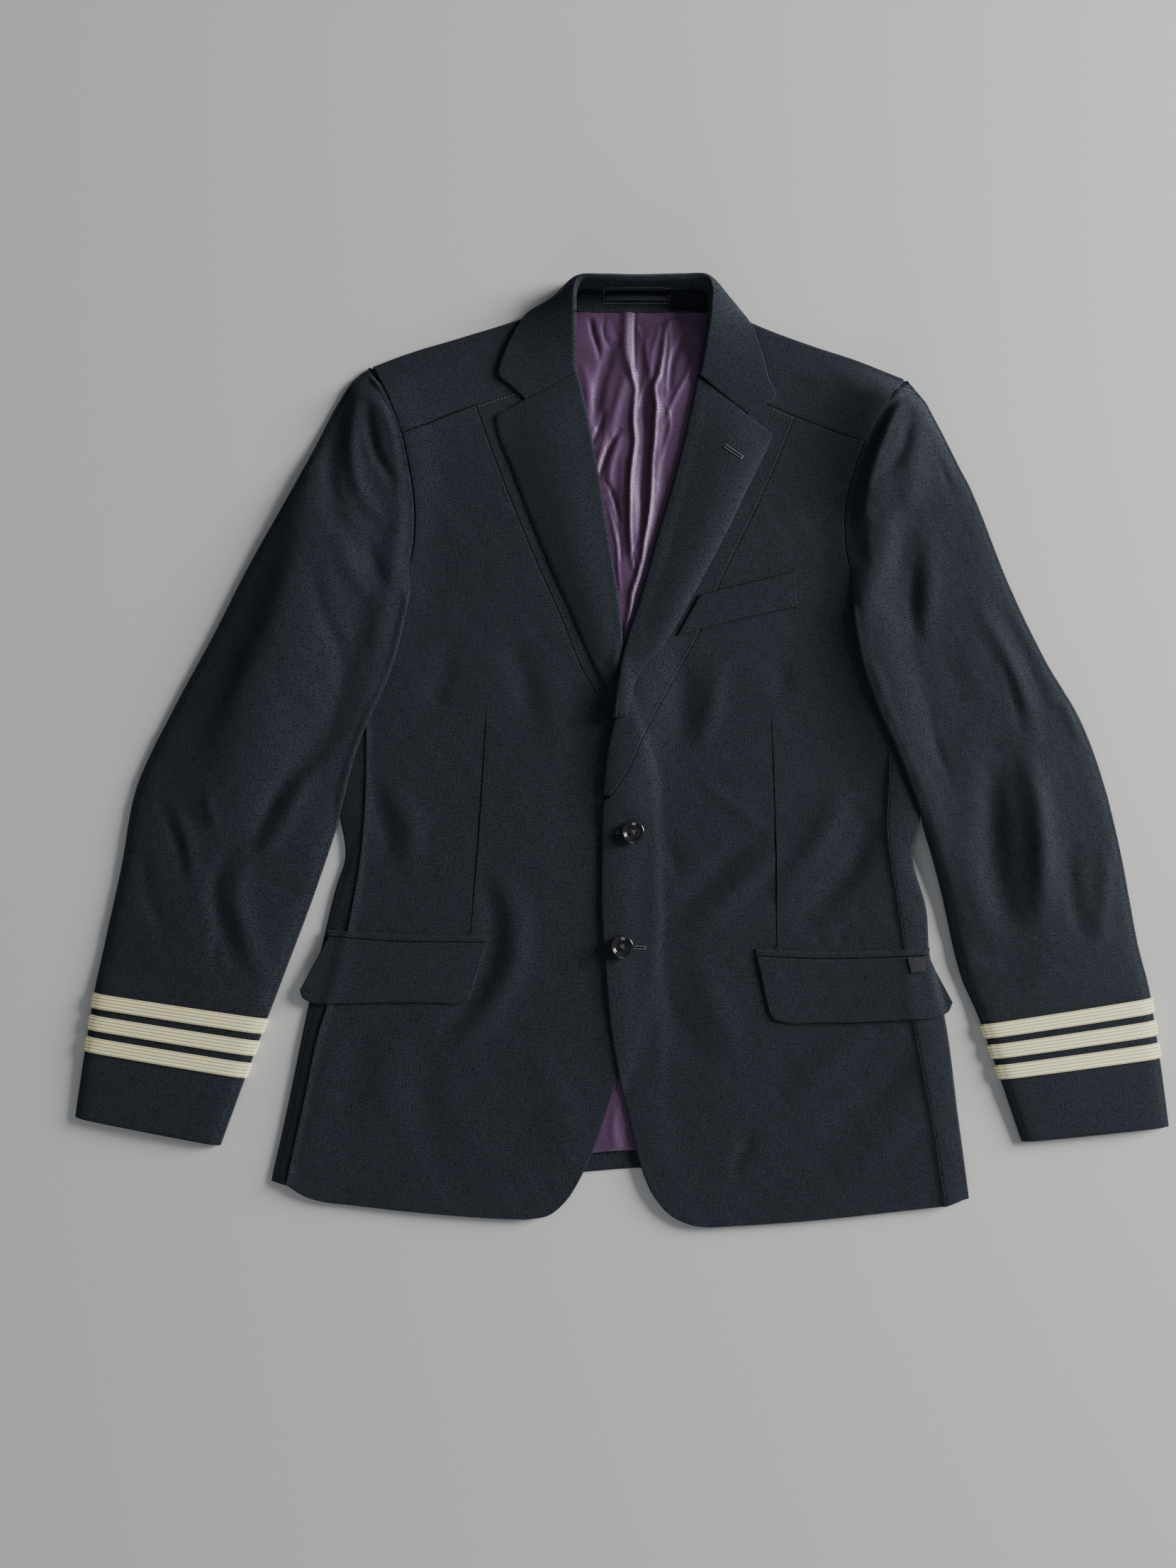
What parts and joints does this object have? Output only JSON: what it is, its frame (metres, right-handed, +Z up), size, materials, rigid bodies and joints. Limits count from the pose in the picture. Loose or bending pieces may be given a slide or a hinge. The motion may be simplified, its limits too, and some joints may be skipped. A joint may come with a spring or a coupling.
{
  "type": "pilot uniform jacket",
  "caption": "Dark wool uniform jacket laid flat, front up, with notch lapels, flap pockets, welt pocket, black buttons and gold sleeve braid.",
  "frame": {"origin": "centre of the jacket's outline on the surface that it lies on", "axes": "+X towards the wearer's left side, +Y towards the collar, +Z up from the surface"},
  "size_m": [0.938, 0.8324, 0.0294],
  "materials": {
    "wool": "dark navy-charcoal worsted twill, matte",
    "lining": "shot burgundy and lavender satin twill, soft sheen",
    "braid": "pale gold ribbed tape, matte with a faint sheen",
    "button": "glossy black resin",
    "label": "dark woven tab"
  },
  "bodies": {
    "root": {"back": "wool", "back_lining": "lining", "neck_facing": "wool", "hanger_loop": "wool", "side_right": "wool", "side_left": "wool", "front_right": "wool", "front_left": "wool", "band_right": "wool", "band_left": "wool", "yoke_right": "wool", "yoke_left": "wool", "lapel_right": "wool", "lapel_left": "wool", "collar": "wool", "top_sleeve_right": "wool", "top_sleeve_left": "wool", "under_sleeve_right": "wool", "under_sleeve_left": "wool", "breast_welt": "wool", "jet_right": "wool", "jet_left": "wool", "flap_right": "wool", "flap_left": "wool", "label": "label", "button_upper": "button", "button_lower": "button", "braid_right_1": "braid", "braid_right_2": "braid", "braid_right_3": "braid", "braid_left_1": "braid", "braid_left_2": "braid", "braid_left_3": "braid"}
  },
  "joints": []
}
